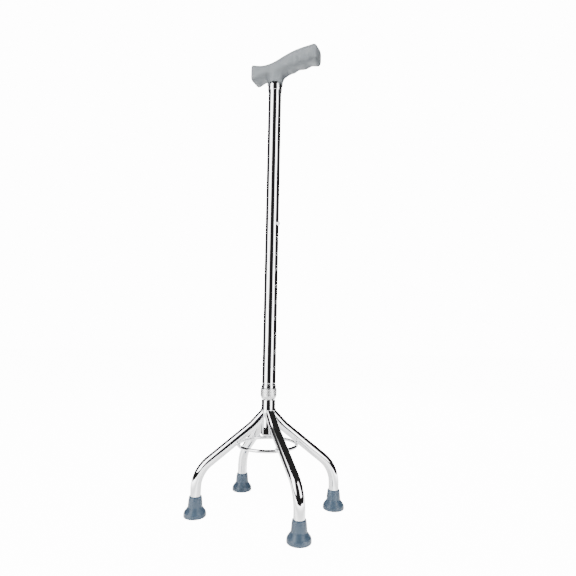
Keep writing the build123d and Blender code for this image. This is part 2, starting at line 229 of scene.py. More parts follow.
def lathe(profile, segments=96, middle=(0, 0), closed=True):
    """Points and faces of an outline (radius, height) turned about an upright axis."""
    turns = np.linspace(0, 2 * pi, segments, endpoint=False)
    ring = np.stack([np.cos(turns), np.sin(turns)], -1)
    inner = profile if closed else profile[1:-1]
    points = [
        np.column_stack([r * ring + np.array(middle), np.full(segments, z)]) for r, z in inner
    ]
    points = np.concatenate(points)
    faces = grid_faces(len(inner), segments, close_rows=closed)
    if closed:
        return points, faces
    low, high = len(points), len(points) + 1
    ends = [(*middle, profile[0][1]), (*middle, profile[-1][1])]
    points = np.concatenate([points, np.array(ends, float)])
    top = (len(inner) - 1) * segments
    faces += fan(low, range(segments - 1, -1, -1))
    faces += fan(high, range(top, top + segments))
    return points, faces


def tube_rings(line, sideways, radius, segments):
    """Rings of points along a bent line that lies in the plane square to sideways.

    Also gives each point's outward direction and the line's direction at each ring.
    """
    ahead = np.gradient(line, axis=0)
    ahead /= np.linalg.norm(ahead, axis=1, keepdims=True)
    upward = np.cross(sideways, ahead)
    turns = np.linspace(0, 2 * pi, segments, endpoint=False)
    around = np.cos(turns)[None, :, None] * upward[:, None, :]
    around = around + np.sin(turns)[None, :, None] * np.asarray(sideways)[None, None, :]
    return line[:, None, :] + radius * around, around, ahead


# Materials --------------------------------------------------------------------------------


def new_material(name):
    """A material with its node tree, its shader and the object's own coordinates."""
    material = bpy.data.materials.new(name)
    material.use_nodes = True
    tree = material.node_tree
    shader = tree.nodes["Principled BSDF"]
    place = tree.nodes.new("ShaderNodeTexCoord").outputs["Object"]
    return material, tree, shader, place


def noise(tree, place, scale, detail=3.0, stretch=None):
    """A noise texture in object space; scale is in cycles per metre."""
    if stretch:
        mapping = tree.nodes.new("ShaderNodeMapping")
        mapping.inputs["Scale"].default_value = stretch
        tree.links.new(place, mapping.inputs["Vector"])
        place = mapping.outputs["Vector"]
    texture = tree.nodes.new("ShaderNodeTexNoise")
    texture.inputs["Scale"].default_value = scale
    texture.inputs["Detail"].default_value = detail
    tree.links.new(place, texture.inputs["Vector"])
    return texture.outputs["Fac"]


def ramp(tree, value, low, high, start=0.3, end=0.7):
    """Runs a value through two colours or two greys."""
    node = tree.nodes.new("ShaderNodeValToRGB")
    ends = []
    for tone in (low, high):
        ends.append((tone, tone, tone, 1) if isinstance(tone, float) else (*tone, 1))
    node.color_ramp.elements[0].position = start
    node.color_ramp.elements[0].color = ends[0]
    node.color_ramp.elements[1].position = end
    node.color_ramp.elements[1].color = ends[1]
    tree.links.new(value, node.inputs["Fac"])
    return node.outputs["Color"]


def bump(tree, shader, height, depth_mm, strength, below=None):
    """Adds relief to a shader, on top of the relief below if there is one."""
    node = tree.nodes.new("ShaderNodeBump")
    node.inputs["Strength"].default_value = strength
    node.inputs["Distance"].default_value = depth_mm * MM
    tree.links.new(height, node.inputs["Height"])
    if below is not None:
        tree.links.new(below, node.inputs["Normal"])
    tree.links.new(node.outputs["Normal"], shader.inputs["Normal"])
    return node.outputs["Normal"]


def metal(name, dark, light, smooth, rough, wave_mm, grain=(1, 1, 1), patch_scale=45.0):
    """Plated or drawn metal with patchy tone and gloss, and a shallow wave if wave_mm isn't 0.

    dark and light are the tone's two ends, smooth and rough the roughness's.
    """
    material, tree, shader, place = new_material(name)
    shader.inputs["Metallic"].default_value = 1.0
    cloud = noise(tree, place, patch_scale, 2.0)
    tree.links.new(ramp(tree, cloud, dark, light), shader.inputs["Base Color"])
    haze = noise(tree, place, 500.0, 4.0, grain)
    tree.links.new(ramp(tree, haze, smooth, rough), shader.inputs["Roughness"])
    if wave_mm:
        bump(tree, shader, haze, wave_mm, 0.5)
    return material


CHROME = metal("chrome_plate", (0.84, 0.845, 0.855), (0.89, 0.895, 0.90), 0.02, 0.045, 0.0)
BUTTON_STEEL = metal("button_steel", (0.76, 0.77, 0.79), (0.84, 0.85, 0.86), 0.03, 0.07, 0.0)
SATIN = metal(
    "satin_knurl", (0.40, 0.40, 0.41), (0.95, 0.95, 0.95), 0.10, 0.20, 0.02, patch_scale=420.0
)
STEEL = metal(
    "steel_plain", (0.62, 0.63, 0.64), (0.78, 0.79, 0.80), 0.36, 0.48, 0.006, grain=(1, 1, 0.03)
)
SPRING = metal("spring_steel", (0.28, 0.28, 0.30), (0.42, 0.42, 0.43), 0.24, 0.36, 0.006)
WELD = metal("weld", (0.66, 0.67, 0.68), (0.82, 0.83, 0.84), 0.10, 0.20, 0.04)


def grip_plastic():
    """Grey moulded plastic with a fine grain over a gentle waviness, polished in patches."""
    material, tree, shader, place = new_material("grip_grey")
    cloud = noise(tree, place, 60.0, 4.0)
    tone = ramp(tree, cloud, (0.262, 0.288, 0.308), (0.292, 0.318, 0.338), 0.35, 0.65)
    tree.links.new(tone, shader.inputs["Base Color"])
    handled = noise(tree, place, 90.0, 3.0)
    tree.links.new(ramp(tree, handled, 0.40, 0.52), shader.inputs["Roughness"])
    shader.inputs["Specular IOR Level"].default_value = 0.35
    grain = noise(tree, place, 2600.0, 2.0)
    flow = noise(tree, place, 240.0, 3.0)
    low_wave = bump(tree, shader, flow, 0.05, 0.5)
    bump(tree, shader, grain, 0.03, 0.6, low_wave)
    return material


def tip_rubber():
    """Blue-grey rubber, finely pitted and slightly paler in patches."""
    material, tree, shader, place = new_material("tip_rubber")
    cloud = noise(tree, place, 110.0, 5.0)
    tone = ramp(tree, cloud, (0.060, 0.100, 0.152), (0.074, 0.118, 0.174), 0.3, 0.7)
    tree.links.new(tone, shader.inputs["Base Color"])
    pits = noise(tree, place, 1900.0, 3.0)
    tree.links.new(ramp(tree, pits, 0.30, 0.42), shader.inputs["Roughness"])
    shader.inputs["Specular IOR Level"].default_value = 0.55
    bump(tree, shader, pits, 0.05, 0.7)
    return material


def nylon():
    """Natural nylon: milky and faintly speckled."""
    material, tree, shader, place = new_material("nylon")
    cloud = noise(tree, place, 200.0, 3.0)
    tone = ramp(tree, cloud, (0.74, 0.73, 0.67), (0.84, 0.83, 0.78))
    tree.links.new(tone, shader.inputs["Base Color"])
    tree.links.new(ramp(tree, cloud, 0.34, 0.48), shader.inputs["Roughness"])
    shader.inputs["Subsurface Weight"].default_value = 0.1
    bump(tree, shader, noise(tree, place, 1500.0, 2.0), 0.02, 0.5)
    return material


GRIP = grip_plastic()
RUBBER = tip_rubber()
NYLON = nylon()

# CAD pieces inside the cane, which keep their own shapes.
NODE_MATERIALS = {
    "handle_core": NYLON,
    "collet_bush": NYLON,
    "compression_ring": NYLON,
    "guide_bush": NYLON,
    "handle_pin": STEEL,
    "spring_clip": SPRING,
}
for side_x, side_y in CORNERS:
    NODE_MATERIALS["tip_washer_" + corner_name(side_x, side_y)] = STEEL
for node, material in NODE_MATERIALS.items():
    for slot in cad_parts[node].material_slots:
        slot.material = material


# Tubes with a row of holes ------------------------------------------------------------------


PATCH_MARGIN = 2.2  # from a hole's edge to the side of the square patch round it
PATCH = 8  # quads along a patch's side
ROUND_COLUMNS = 72  # quads round the rest of the tube
PATCH_RINGS = 5
HOLE_LIP = 0.7  # width of the rounded edge of a hole
INNER_BREAK = 0.09  # size of the broken edge at the bore


def patch_border(low):
    """Grid places round a patch whose lowest row is low, in order."""
    border = [(low, b) for b in range(PATCH)]
    border += [(low + a, PATCH) for a in range(PATCH)]
    border += [(low + PATCH, b) for b in range(PATCH, 0, -1)]
    border += [(low + a, 0) for a in range(PATCH, 0, -1)]
    return border


def drilled_tube(outline, wall, hole_heights, hole_r):
    """An upright tube with round holes on its +X side.

    outline gives (height, outer radius) from the bottom to the top. Around each hole the
    grid turns into rings that run from a square patch in to the hole.
    """
    half = hole_r + PATCH_MARGIN
    side = np.linspace(-half, half, PATCH + 1)
    heights = {round(z, 4) for z, _ in outline}
    for z in hole_heights:
        heights |= {round(z + s, 4) for s in side}
    heights = np.array(sorted(heights))
    outer = np.interp(heights, [z for z, _ in outline], [r for _, r in outline])
    slope = np.gradient(outer, heights)
    widest = outer.max()
    columns = PATCH + ROUND_COLUMNS
    lowest_rows = [int(np.argmin(abs(heights - (z - half)))) for z in hole_heights]

    def skin(radius_of, facing):
        """One face of the wall: facing is 1 outside and -1 inside.

        Besides the mesh it gives the grid's points by row and column, and each hole's rim.
        """
        points, normals, faces, index = [], [], [], {}

        def vertex(turn, z):
            r = radius_of(z)
            points.append((r * cos(turn), r * sin(turn), z))
            tilt = -np.interp(z, heights, slope) if facing > 0 else 0.0
            normal = np.array([cos(turn), sin(turn), tilt]) * facing
            normals.append(normal / np.linalg.norm(normal))
            return len(points) - 1

        def vertex_across(y, z):
            return vertex(np.arcsin(y / radius_of(z)), z)

        for i, z in enumerate(heights):
            edge = np.arcsin(half / radius_of(z))
            for j, y in enumerate(side):
                index[i, j] = vertex_across(y, z)
            others = np.linspace(edge, 2 * pi - edge, ROUND_COLUMNS + 1)[1:-1]
            for j, turn in enumerate(others):
                index[i, PATCH + 1 + j] = vertex(turn, z)
        in_patch = set()
        for low in lowest_rows:
            in_patch |= {(low + a, b) for a in range(PATCH) for b in range(PATCH)}
        for i in range(len(heights) - 1):
            for j in range(columns):
                if (i, j) in in_patch:
                    continue
                k = (j + 1) % columns
                faces.append((index[i, j], index[i, k], index[i + 1, k], index[i + 1, j]))
        rims = []
        for low, z in zip(lowest_rows, hole_heights):
            border = patch_border(low)
            loop = [index[b] for b in border]
            ys = np.array([side[b] for _, b in border])
            zs = np.array([heights[a] - z for a, _ in border])
            far = np.hypot(ys, zs)
            for ring in range(1, PATCH_RINGS + 1):
                t = ring / PATCH_RINGS
                scale = (1 - t) + t * (hole_r + HOLE_LIP) / far
                new = [vertex_across(y * s, z + dz * s) for y, dz, s in zip(ys, zs, scale)]
                faces += bridge(loop, new)
                loop = new
            rims.append((loop, ys / far, zs / far, z))
        return points, normals, faces, index, rims

    bore_r = widest - wall
    points, normals, faces, index, rims = skin(lambda z: np.interp(z, heights, outer), 1)
    bore_points, bore_normals, bore_faces, bore_index, bore_rims = skin(lambda z: bore_r, -1)
    shift = len(points)
    points += bore_points
    normals += bore_normals
    faces += [tuple(v + shift for v in reversed(f)) for f in bore_faces]

    # a hole's wall: depth below the surface, how far it is wider, how far it faces outwards
    steps = [(0.2, HOLE_LIP / 2, 0.7), (0.45, 0.0, 0.3)]
    steps += [(wall - 0.3, 0.0, 0.0), (wall - INNER_BREAK, INNER_BREAK, -0.7)]
    for (loop, ys, zs, z), (bore_loop, _, _, _) in zip(rims, bore_rims):
        for depth, grow, lean in steps:
            new = []
            for y, dz in zip(ys, zs):
                place_y = y * (hole_r + grow)
                place_x = sqrt((widest - depth) ** 2 - place_y**2)
                points.append((place_x, place_y, z + dz * (hole_r + grow)))
                normal = np.array([lean, -y, -dz])
                normals.append(normal / np.linalg.norm(normal))
                new.append(len(points) - 1)
            faces += bridge(loop, new)
            loop = new
        faces += bridge(loop, [v + shift for v in bore_loop])
    for row, flip in ((0, False), (len(heights) - 1, True)):
        for j in range(columns):
            k = (j + 1) % columns
            quad = (index[row, k], index[row, j])
            quad += (bore_index[row, j] + shift, bore_index[row, k] + shift)
            faces.append(tuple(reversed(quad)) if flip else quad)
    return np.array(points), faces, np.array(normals)


def rolled_groove(middle, width, depth, radius, side=0.3, steps=4):
    """Outline points of a groove with a flat bottom and steep rounded sides."""
    way_in = []
    for k in range(-1, steps + 2):  # one point beyond each end keeps the flats' shading flat
        t = min(max(k / steps, 0), 1)
        way_in.append((width / 2 - side * k / steps, radius - depth * 0.5 * (1 - cos(pi * t))))
    below = [(middle - offset, r) for offset, r in way_in]
    above = [(middle + offset, r) for offset, r in reversed(way_in)]
    return below + above


def make_upper_tube():
    """The shaft, with its row of height holes and the groove that holds the sleeve."""
    bottom, top = TUBE_LOW[2], TUBE_HIGH[2]
    outline = [(bottom, TUBE_R - 0.1), (bottom + 0.1, TUBE_R), (bottom + 0.3, TUBE_R)]
    outline += rolled_groove(GROOVE_Z, GROOVE_WIDTH, GROOVE_DEPTH, TUBE_R)
    outline += [(GROOVE_Z + 2.5, TUBE_R), (FERRULE_LOW[2], TUBE_R), (top, TUBE_R)]
    holes = [BUTTON_Z - HOLE_PITCH * k for k in range(HOLE_COUNT)]
    points, faces, normals = drilled_tube(outline, TUBE_WALL, holes, HOLE_R)
    nodes = ["upper_tube"]
    make_piece("shaft_tube", points, faces, CHROME, "upper", nodes, normals)


def make_inner_tube():
    """The stem inside the shaft, with one hole for the button."""
    bottom, top = STEM_LOW[2], STEM_HIGH[2]
    outline = [(bottom, STEM_R - 0.3), (bottom + 0.3, STEM_R), (HUB_HIGH[2], STEM_R)]
    outline += [(top - 0.3, STEM_R), (top, STEM_R - 0.3)]
    points, faces, normals = drilled_tube(outline, STEM_WALL, [BUTTON_Z], HOLE_R - 0.1)
    nodes = ["inner_tube"]
    make_piece("stem_tube", points, faces, STEEL, "base", nodes, normals)


make_upper_tube()
make_inner_tube()


# Turned pieces --------------------------------------------------------------------------------


def make_turned(name, corners, radii, body, node, steps=6):
    """A chromed piece turned from a closed outline of (radius, height) corners."""
    points, faces = lathe(rounded_loop(corners, radii, steps))
    make_piece(name, points, faces, CHROME, body, [node])


def make_ferrule():
    """The collar under the grip: a cone, a ring groove and a plain band."""
    low, high = FERRULE_LOW[2], FERRULE_HIGH[2]
    wide = FERRULE_HIGH[0]
    corners = [
        (TUBE_R + FIT, low),
        (TUBE_R + 0.35, low),
        (wide, low + 3.6),
        (wide, low + 4.9),
        (wide - 0.55, low + 5.8),
        (wide, low + 6.7),
        (wide, high - 0.05),
        (TUBE_R + FIT, high - 0.05),
    ]
    radii = [0.05, 0.15, 2.0, 0.4, 0.5, 0.5, 0.5, 0.1]
    make_turned("top_collar", corners, radii, "upper", "handle_ferrule", 5)


def make_lower_sleeve():
    """The sleeve in the shaft's lower end: its shank below, its lip, and its upper part."""
    thread_r = RING_HIGH[0] - RING_WALL - THREAD_GAP
    lip_low, lip_high = RING_HIGH[2] + LIP_GAP, TUBE_LOW[2]
    bore = SLEEVE_HIGH[0] - 2.6
    lip = SLEEVE_HIGH[0]
    corners = [
        (bore, SLEEVE_LOW[2]),
        (thread_r - 0.5, SLEEVE_LOW[2]),
        (thread_r, SLEEVE_LOW[2] + 0.5),
        (thread_r, lip_low),
        (lip, lip_low),
        (lip, lip_high - 0.2),
        (TUBE_R - TUBE_WALL - FIT, lip_high - 0.2),
        (TUBE_R - TUBE_WALL - FIT, SLEEVE_HIGH[2]),
        (bore, SLEEVE_HIGH[2]),
    ]
    radii = [0.2, 0.2, 0.2, 0.2, 0.2, 0.5, 0.2, 0.2, 0.2]
    make_turned("sleeve_lip", corners, radii, "upper", "lower_sleeve")


def make_hub():
    """The short tube that the stem and the legs are joined to."""
    top = HUB_HIGH[2] - 0.08  # just clear of the lock ring when it is turned right down
    corners = [
        (STEM_R + FIT, HUB_LOW[2]),
        (HUB_R, HUB_LOW[2]),
        (HUB_R, top),
        (STEM_R + FIT, top),
    ]
    make_turned("hub", corners, [0.2, 1.0, 0.8, 0.2], "base", "hub_tube")


def make_hub_plug():
    """The plug in the hub's lower end, with a dimple in the middle of its head."""
    low, high = PLUG_LOW[2], PLUG_HIGH[2]
    wide = PLUG_HIGH[0]
    shank = STEM_R - FIT
    head_top = HUB_LOW[2] - FIT
    dimple = low + 0.9
    outline = [(0, high), (shank, high), (shank, head_top), (wide, head_top), (wide, low)]
    outline += [(2.2, low), (1.6, dimple), (0, dimple)]
    profile = filleted(outline, [0.3, 0.1, 0.2, 1.0, 0.3, 0.2], 5)
    points, faces = lathe(profile, closed=False)
    make_piece("hub_end_plug", points, faces, CHROME, "base", ["hub_plug"])


def make_button():
    """A domed button turned about X, with the flange that keeps it in the stem."""
    back = BUTTON_LOW[0]
    front = back + FLANGE
    shoulder = BUTTON_HIGH[0] - BUTTON_DOME
    flange_r = (BUTTON_HIGH[2] - BUTTON_LOW[2]) / 2
    side = [(0, back), (flange_r, back), (flange_r, front), (BUTTON_R, front), (BUTTON_R, shoulder)]
    turns = pi / 2 * np.arange(1, 13) / 12
    dome = np.column_stack([BUTTON_R * np.cos(turns), shoulder + BUTTON_DOME * np.sin(turns)])
    profile = np.concatenate([filleted(side, [0.2, 0.2, 0.2], 3), dome])
    points, faces = lathe(profile, 48, closed=False)
    turned = np.column_stack([points[:, 2], points[:, 0], points[:, 1] + BUTTON_Z])
    nodes = ["snap_button"]
    make_piece("snap_button_dome", turned, faces, BUTTON_STEEL, "button", nodes)


make_ferrule()
make_lower_sleeve()
make_hub()
make_hub_plug()
make_button()


# Knurled lock ring --------------------------------------------------------------------------


DIAMONDS = 30  # round the ring
KNURL_DEPTH = 0.22
KNURL_ROWS = 110
RIM = 1.2  # plain band above the knurl
FOOT_RIM = 0.6  # plain band below it
FADE = 0.8  # over which the knurl runs out


def knurl_cut(turns, z, low, high, slant):
    """How far two crossing sets of grooves cut in at a height."""
    a = (turns * DIAMONDS / 2 + (z - low) * slant) % pi / pi
    b = (turns * DIAMONDS / 2 - (z - low) * slant) % pi / pi
    tooth = np.minimum(1 - abs(2 * a - 1), 1 - abs(2 * b - 1))
    fade = np.clip((high - RIM - z) / FADE, 0, 1) * np.clip((z - low - FOOT_RIM) / FADE, 0, 1)
    return KNURL_DEPTH * (1 - np.clip(1.5 * tooth, 0, 1)) * fade


def make_lock_ring():
    """A ring with diamond knurling between plain rims, tapered below."""
    low, high = RING_LOW[2], RING_HIGH[2]
    wide = RING_HIGH[0] - FIT
    bore = wide - 1.95
    neck = bore - 0.9  # radius of the narrower bore at the foot
    outline = [(neck, low), (wide - 1.7, low), (wide, low + 4.4)]
    outline += [(wide, high - 1.3), (wide - 1.0, high), (bore, high)]
    outside = filleted(outline, [0.5, 3.0, 0.6, 0.4])
    # resample the outside evenly so that the knurl has enough points
    lengths = np.linalg.norm(np.diff(outside, axis=0), axis=1)
    along = np.concatenate([[0], np.cumsum(lengths)])
    even = np.linspace(0, along[-1], KNURL_ROWS)
    outside = np.column_stack([np.interp(even, along, outside[:, k]) for k in (0, 1)])
    inside = np.array([(bore, high - 0.6), (bore, low + 1.4), (bore, low + 0.9), (neck, low + 0.9)])
    turns = np.linspace(0, 2 * pi, DIAMONDS * 8, endpoint=False)
    slant = DIAMONDS / 2 / wide
    rings = []
    for r, z in np.concatenate([outside, inside]):
        if r > bore + 0.5:
            r = r - knurl_cut(turns, z, low, high, slant)
        rings.append(np.column_stack([r * np.cos(turns), r * np.sin(turns), np.full(len(turns), z)]))
    points = np.concatenate(rings)
    faces = grid_faces(len(rings), len(turns), close_rows=True)
    nodes = ["lock_ring"]
    make_piece("knurled_lock_ring", points, faces, SATIN, "lock", nodes)


make_lock_ring()


# Legs, brace ring and welds --------------------------------------------------------------------


def leg_centreline():
    """The leg's middle line: distance from the shaft's axis, height."""
    bottom = (FOOT_RADIUS, LEG_BOTTOM_Z)
    path = [LEG_START, LEG_SLOPE_TOP, LEG_KNEE, bottom]
    return filleted(path, [LEG_START_BEND_R, LEG_BEND_R], 24)


def leg_rings(side_x, side_y, segments):
    """Rings of points along the leg at a corner of the base."""
    turn = atan2(side_y * FOOT_Y, side_x * FOOT_X)
    outward = np.array([cos(turn), sin(turn), 0.0])
    sideways = np.array([-sin(turn), cos(turn), 0.0])
    line = leg_centreline()
    line = line[:, :1] * outward + line[:, 1:] * np.array([0, 0, 1.0])
    return tube_rings(line, sideways, LEG_R, segments)


def reach_cylinder(start, ahead, radius):
    """Where straight lines from start along ahead come out of an upright cylinder."""
    a = ahead[0] ** 2 + ahead[1] ** 2
    b = start[:, 0] * ahead[0] + start[:, 1] * ahead[1]
    c = start[:, 0] ** 2 + start[:, 1] ** 2 - radius**2
    along = (-b + np.sqrt(b**2 - a * c)) / a
    return start + along[:, None] * ahead


def make_leg(side_x, side_y):
    """A bent tube leg, cut where it runs into the hub and closed at both ends."""
    segments = 64
    rings, around, ahead = leg_rings(side_x, side_y, segments)
    rings[0] = reach_cylinder(rings[0], ahead[0], HUB_R - LEG_INTO_HUB)
    points = np.concatenate([rings.reshape(-1, 3), [rings[0].mean(0), rings[-1].mean(0)]])
    normals = np.concatenate([around.reshape(-1, 3), [-ahead[0], ahead[-1]]])
    faces = grid_faces(len(rings), segments)
    top_centre = len(points) - 2
    last = (len(rings) - 1) * segments
    faces += fan(top_centre, range(segments - 1, -1, -1))
    faces += fan(top_centre + 1, range(last, last + segments))
    corner = corner_name(side_x, side_y)
    name = "tube_leg_" + corner
    make_piece(name, points, faces, CHROME, "base", ["leg_" + corner], normals)


def make_brace_ring():
    """The wire ring under the legs."""
    turns = np.linspace(0, 2 * pi, 40, endpoint=False)
    radii = WIRE_RING_R + WIRE_R * np.cos(turns)
    profile = np.column_stack([radii, WIRE_Z + WIRE_R * np.sin(turns)])
    points, faces = lathe(profile, 200)
    make_piece("brace_wire", points, faces, CHROME, "base", ["brace_ring"])


def lump(middle, size, angle, seed):
    """A small uneven bead: an ellipsoid pushed in and out by a few waves."""
    rows, columns = 18, 28
    points = []
    for i in range(rows + 1):
        a = pi * i / rows
        for j in range(columns):
            b = 2 * pi * j / columns
            way = np.array([sin(a) * cos(b), sin(a) * sin(b), cos(a)])
            swell = 1 + 0.05 * sin(5 * b + seed) * sin(a) + 0.04 * sin(7 * a + 2 * seed)
            points.append(way * swell * np.array(size))
    points = np.array(points)
    turn = np.array([[cos(angle), -sin(angle), 0], [sin(angle), cos(angle), 0], [0, 0, 1]])
    return points @ turn.T + np.array(middle), grid_faces(rows + 1, columns)


def weld_seam(loop, radius, seed):
    """A rippled bead along a closed line of points."""
    n, segments = len(loop), 14
    ahead = np.roll(loop, -1, axis=0) - np.roll(loop, 1, axis=0)
    ahead /= np.linalg.norm(ahead, axis=1, keepdims=True)
    out = loop * np.array([1, 1, 0.0])
    out /= np.linalg.norm(out, axis=1, keepdims=True)
    out -= (out * ahead).sum(1, keepdims=True) * ahead
    out /= np.linalg.norm(out, axis=1, keepdims=True)
    across = np.cross(ahead, out)
    turns = np.linspace(0, 2 * pi, segments, endpoint=False)
    points = []
    for i in range(n):
        r = radius * (1 + 0.12 * sin(i * 1.1 + seed) + 0.06 * sin(i * 2.9 + 2 * seed))
        for a in turns:
            points.append(loop[i] + r * (cos(a) * out[i] + sin(a) * across[i]))
    return np.array(points), grid_faces(n, segments, close_rows=True)


def make_welds():
    """The seams round the legs at the hub and two beads at each leg on the brace ring."""
    points, faces = [], []

    def join(new_points, new_faces):
        shift = sum(len(p) for p in points)
        points.append(new_points)
        faces.extend(tuple(v + shift for v in f) for f in new_faces)

    for seed, (side_x, side_y) in enumerate(CORNERS):
        rings, _, ahead = leg_rings(side_x, side_y, 96)
        seam = reach_cylinder(rings[0], ahead[0], HUB_R + 0.1)
        join(*weld_seam(seam, SEAM_R, seed))
        turn = atan2(side_y * FOOT_Y, side_x * FOOT_X)
        for side in (-1, 1):
            off = turn + side * BEAD_OFFSET / WIRE_RING_R
            middle = (WIRE_RING_R * cos(off), WIRE_RING_R * sin(off), WIRE_Z + WIRE_R + 0.3)
            join(*lump(middle, BEAD_SIZE, turn, seed + side))
    make_piece("welds", np.concatenate(points), faces, WELD, "base", ["weld_beads"])


for side_x, side_y in CORNERS:
    make_leg(side_x, side_y)
make_brace_ring()
make_welds()


# Rubber tips -----------------------------------------------------------------------------------


def tip_profile():
    """The tip's outline, from the socket's floor over the top and down to the sole."""
    top = TIP_HEIGHT
    leg = LEG_R + FIT
    floor_z = LEG_BOTTOM_Z - SOCKET_FLOOR
    # radius, height and rounding of each corner
    corners = [
        (leg, floor_z, 0.3),
        (leg, top, 0.5),
        (8.95, top, 0.5),
        (9.45, top - 1.4, 0.5),
        (9.75, top - 3.4, 0.4),
        (9.6, top - 4.0, 0.2),
        (9.95, top - 4.7, 0.4),
        (10.3, top - 8.2, 3.0),
        (10.75, 13.6, 4.5),
        (13.6, 9.7, 2.2),
        (15.6, 7.0, 3.0),
        (16.35, 4.6, 1.0),
        (16.2, 3.9, 0.2),
        (16.42, 3.2, 0.5),
        (16.4, 0.0, 1.1),
    ]
    for tread in TREAD_RADII:
        section = ((0.6, 0.0), (0.45, TREAD_DEPTH), (-0.45, TREAD_DEPTH), (-0.6, 0.0))
        corners += [(tread + across, deep, 0.15) for across, deep in section]
    outline = [(0, floor_z)] + [corner[:2] for corner in corners] + [(0, 0.0)]
    return filleted(outline, [corner[2] for corner in corners], 5)


def make_tip(side_x, side_y):
    """A bell-shaped tip with moulded rings round the collar and the base and a ringed sole."""
    middle = (side_x * FOOT_X, side_y * FOOT_Y)
    points, faces = lathe(tip_profile(), 96, middle, closed=False)
    corner = corner_name(side_x, side_y)
    name = "rubber_tip_" + corner
    make_piece(name, points, faces, RUBBER, "base", ["tip_" + corner])


for side_x, side_y in CORNERS:
    make_tip(side_x, side_y)


# Grip --------------------------------------------------------------------------------------------

# Sections across the grip: place along X, underside, top, half width, squareness.
GRIP_SHAPE = [
    (-40.4, 687.4, 716.4, 13.1, 6.0),
    (-35.0, 686.5, 715.3, 13.6, 4.4),
    (-26.0, 688.2, 712.8, 13.7, 3.1),
    (-12.0, 690.3, 709.9, 13.6, 2.9),
    (4.0, 690.6, 710.8, 13.8, 2.9),
    (22.0, 691.0, 715.8, 14.2, 2.9),
    (38.0, 691.6, 719.2, 14.4, 2.9),
    (54.0, 692.0, 720.15, 14.4, 2.9),
    (67.0, 691.8, 719.4, 14.3, 3.3),
    (77.5, 691.1, 718.9, 14.1, 4.0),
]
FINGER_PITCH = 22.0
FINGER_FIRST_X = 40.0
FINGER_DEPTH = 2.6
REAR_ROUNDING = 4.0  # of the edges of the grip's end faces
FRONT_ROUNDING = 6.5
NECK_R = 12.75
NECK_RISE = 17.0  # height over which the neck flares
NECK_TOP_Z = 702.0  # inside the bar
NECK_BLEND = 5.0  # rounding between the neck and the bar


def smooth_curve(xs, known_x, known_y):
    """A smooth curve through a few points, in cubic spans."""
    known_x, known_y = np.array(known_x, float), np.array(known_y, float)
    slope = np.gradient(known_y, known_x)
    k = np.clip(np.searchsorted(known_x, xs) - 1, 0, len(known_x) - 2)
    width = known_x[k + 1] - known_x[k]
    t = np.clip((xs - known_x[k]) / width, 0, 1)
    a, b = known_y[k], known_y[k + 1]
    return (
        (2 * t**3 - 3 * t**2 + 1) * a
        + (t**3 - 2 * t**2 + t) * width * slope[k]
        + (-2 * t**3 + 3 * t**2) * b
        + (t**3 - t**2) * width * slope[k + 1]
    )


def blend_union(a, b, reach):
    """The nearer of two distances, with a rounded seam of about that reach."""
    h = np.clip(0.5 + 0.5 * (b - a) / reach, 0, 1)
    return b + (a - b) * h - reach * h * (1 - h)


def blend_cut(a, b, reach):
    """The further of two distances, with a rounded edge."""
    return -blend_union(-a, -b, reach)


def bar_distance(x, y, z):
    """About how far points are outside the grip's bar, in millimetres."""
    stations, lows, highs, halves, powers = zip(*GRIP_SHAPE)
    low = smooth_curve(x, stations, lows)
    high = smooth_curve(x, stations, highs)
    half = smooth_curve(x, stations, halves)
    power = smooth_curve(x, stations, powers)
    middle, rise = (low + high) / 2, (high - low) / 2
    across, up = y / half, (z - middle) / rise
    size = (np.abs(across) ** power + np.abs(up) ** power) ** (1 / power)
    bar = (size - 1) * np.minimum(half, rise)
    # finger grooves: how deep along the bar, how far up its sides and where they run out
    phase = (x - FINGER_FIRST_X) / FINGER_PITCH
    trough = np.cos(2 * pi * phase)
    under = np.clip((0.35 - up) / 0.8, 0, 1) * (1 - 0.6 * np.clip((-up - 0.4) / 0.5, 0, 1))
    along = np.clip((x - 22) / 8, 0, 1) * np.clip((81 - x) / 8, 0, 1)
    bar = bar + FINGER_DEPTH * (0.5 + 0.5 * trough) * under * along
    bar = blend_cut(bar, stations[0] - x, REAR_ROUNDING)
    return blend_cut(bar, x - stations[-1], FRONT_ROUNDING)


def neck_distance(x, y, z):
    """The same for the neck, which flares forwards and up into the bar."""
    t = np.clip((z - GRIP_LOW[2]) / NECK_RISE, 0, 1)
    front = NECK_R + 9.5 * t**2.6
    rear = NECK_R + 3.5 * t**3
    centre, reach = (front - rear) / 2, (front + rear) / 2
    thick = NECK_R + 0.3 * t
    neck = (np.sqrt(((x - centre) / reach) ** 2 + (y / thick) ** 2) - 1) * NECK_R
    return blend_cut(neck, z - NECK_TOP_Z, 3.0)


def grip_distance(p):
    """About how far points are outside the grip's surface, in millimetres."""
    x, y, z = p[:, 0], p[:, 1], p[:, 2]
    whole = blend_union(bar_distance(x, y, z), neck_distance(x, y, z), NECK_BLEND)
    return blend_cut(whole, GRIP_LOW[2] - z, 0.8)


def rise_at(distance, points, step=0.05):
    """How much the distance changes over twice a step along each axis."""
    return np.column_stack(
        [distance(points + step * axis) - distance(points - step * axis) for axis in np.eye(3)]
    )


def settle(points, distance, rounds=12, step=0.05):
    """Moves points onto the surface where the distance is nought, with its normals."""
    for _ in range(rounds):
        slope = rise_at(distance, points, step) / (2 * step)
        slope /= np.maximum((slope**2).sum(1, keepdims=True), 0.05)
        points = points - np.clip(distance(points)[:, None] * slope, -1.0, 1.0)
    normals = rise_at(distance, points, step)
    return points, normals / np.linalg.norm(normals, axis=1, keepdims=True)


